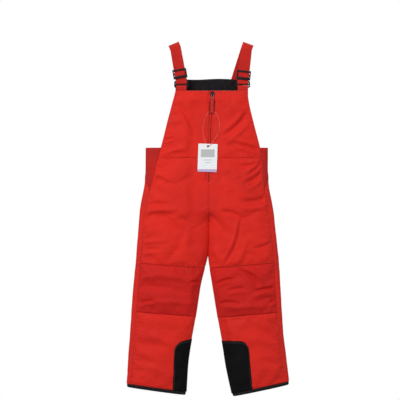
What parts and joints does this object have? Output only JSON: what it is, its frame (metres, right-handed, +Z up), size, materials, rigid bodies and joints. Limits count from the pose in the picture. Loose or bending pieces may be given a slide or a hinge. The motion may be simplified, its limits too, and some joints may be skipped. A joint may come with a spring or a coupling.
{
  "type": "ski pants",
  "caption": "Child's padded bib ski pants with adjustable braces, centre-front zip, stretch sides, shaped knees and reinforced inner ankles.",
  "frame": {"origin": "top of the hanger bar, midway in depth, under the inner face of the braces' folds", "axes": "+Z up, -Y out of the front, +X to the wearer's left"},
  "size_m": [0.4424, 0.0662, 0.9594],
  "materials": {
    "shell_red": "woven nylon, slight sheen",
    "shell_dark_red": "heavier woven nylon, matt",
    "stretch_red": "ribbed stretch cloth",
    "webbing_red": "woven elastic webbing",
    "tape_dark_red": "zip tape",
    "fleece_black": "brushed fleece",
    "lining_grey": "quilted taffeta",
    "elastic_black": "knitted elastic",
    "binding_black": "folded binding",
    "guard_black": "coated oxford cloth",
    "gaiter_black": "thin taffeta",
    "label_white": "satin ribbon",
    "zip_coil": "moulded coil",
    "zip_metal": "polished wire",
    "slider_dark": "dark enamel",
    "pull_red": "moulded rubbery plastic",
    "buckle_black": "moulded, semi-gloss",
    "ring_black": "moulded, semi-gloss",
    "tag_card": "printed card",
    "tag_string": "thin cord"
  },
  "bodies": {
    "torso": {"front_bib_right": "shell_red", "front_bib_left": "shell_red", "front_rise_right": "shell_red", "front_rise_left": "shell_red", "side_panel_right": "stretch_red", "side_panel_left": "stretch_red", "back_panel": "shell_red", "back_seat_right": "shell_red", "back_seat_left": "shell_red", "back_collar": "fleece_black", "care_label": "label_white", "bib_facing": "fleece_black", "torso_lining": "lining_grey", "waist_elastic": "elastic_black", "crotch_gusset": "shell_dark_red", "zip_tape_right": "tape_dark_red", "zip_tape_left": "tape_dark_red", "zip_teeth_right": "zip_coil", "zip_teeth_left": "zip_coil", "zip_stops": "zip_metal", "zip_guard": "lining_grey", "brace_right": "webbing_red", "brace_left": "webbing_red", "brace_end_right": "webbing_red", "brace_end_left": "webbing_red", "ear_right": "shell_red", "ear_left": "shell_red"},
    "zip_slider": {"zip_slider": "slider_dark"},
    "zip_puller": {"zip_bail": "zip_metal", "zip_tab": "pull_red"},
    "swing_tag": {"swing_tag": "tag_card", "tag_string": "tag_string"},
    "adjuster_right": {"adjuster_right": "buckle_black"},
    "ring_right": {"ring_right": "ring_black"},
    "thigh_right": {"front_thigh_right": "shell_red", "knee_panel_right": "shell_dark_red", "back_thigh_right": "shell_red", "thigh_lining_right": "lining_grey"},
    "shin_right": {"front_shin_right": "shell_red", "back_shin_right": "shell_red", "hem_band_right": "binding_black", "scuff_guard_right": "guard_black", "shin_lining_right": "lining_grey", "snow_gaiter_right": "gaiter_black", "gaiter_elastic_right": "elastic_black"},
    "adjuster_left": {"adjuster_left": "buckle_black"},
    "ring_left": {"ring_left": "ring_black"},
    "thigh_left": {"front_thigh_left": "shell_red", "knee_panel_left": "shell_dark_red", "back_thigh_left": "shell_red", "thigh_lining_left": "lining_grey"},
    "shin_left": {"front_shin_left": "shell_red", "back_shin_left": "shell_red", "hem_band_left": "binding_black", "scuff_guard_left": "guard_black", "shin_lining_left": "lining_grey", "snow_gaiter_left": "gaiter_black", "gaiter_elastic_left": "elastic_black"}
  },
  "joints": [
    {"name": "zip_run", "type": "slide", "parent": "torso", "child": "zip_slider", "axis": [0.0434, 0.045, 0.998], "range_m": [-0.19, 0]},
    {"name": "puller_lift", "type": "hinge", "parent": "zip_slider", "child": "zip_puller", "pos_m": [0.01357, -0.01975, -0.1369], "axis": [-0.9991, 0.002, 0.0434], "range_deg": [0, 150]},
    {"name": "tag_swing", "type": "hinge", "parent": "zip_puller", "child": "swing_tag", "pos_m": [0.0115, -0.02188, -0.18431], "axis": [-0.9991, 0.002, 0.0434], "range_deg": [-150, 0]},
    {"name": "adjuster_right_slide", "type": "slide", "parent": "torso", "child": "adjuster_right", "axis": [-0.1716, 0, 0.9852], "range_m": [-0.005, 0.045], "deforming": ["brace_end_right"]},
    {"name": "ring_right_rock", "type": "hinge", "parent": "torso", "child": "ring_right", "pos_m": [-0.0705, -0.0086, -0.117], "axis": [1, 0, 0], "range_deg": [-6, 6]},
    {"name": "hip_right", "type": "hinge", "parent": "torso", "child": "thigh_right", "pos_m": [-0.095, -0.033, -0.471], "axis": [-1, 0, 0], "range_deg": [0, 90]},
    {"name": "knee_right", "type": "hinge", "parent": "thigh_right", "child": "shin_right", "pos_m": [-0.11, 0.02, -0.665], "axis": [1, 0, 0], "range_deg": [0, 100]},
    {"name": "adjuster_left_slide", "type": "slide", "parent": "torso", "child": "adjuster_left", "axis": [0.1117, 0, 0.9937], "range_m": [0, 0.05], "deforming": ["brace_end_left"]},
    {"name": "ring_left_rock", "type": "hinge", "parent": "torso", "child": "ring_left", "pos_m": [0.096, -0.0086, -0.117], "axis": [1, 0, 0], "range_deg": [-6, 6]},
    {"name": "hip_left", "type": "hinge", "parent": "torso", "child": "thigh_left", "pos_m": [0.095, -0.033, -0.471], "axis": [-1, 0, 0], "range_deg": [0, 90]},
    {"name": "knee_left", "type": "hinge", "parent": "thigh_left", "child": "shin_left", "pos_m": [0.107, 0.02, -0.665], "axis": [1, 0, 0], "range_deg": [0, 100]}
  ],
  "couplings": [
    {"joint": "tag_swing", "follows": "puller_lift", "ratio": -1}
  ]
}
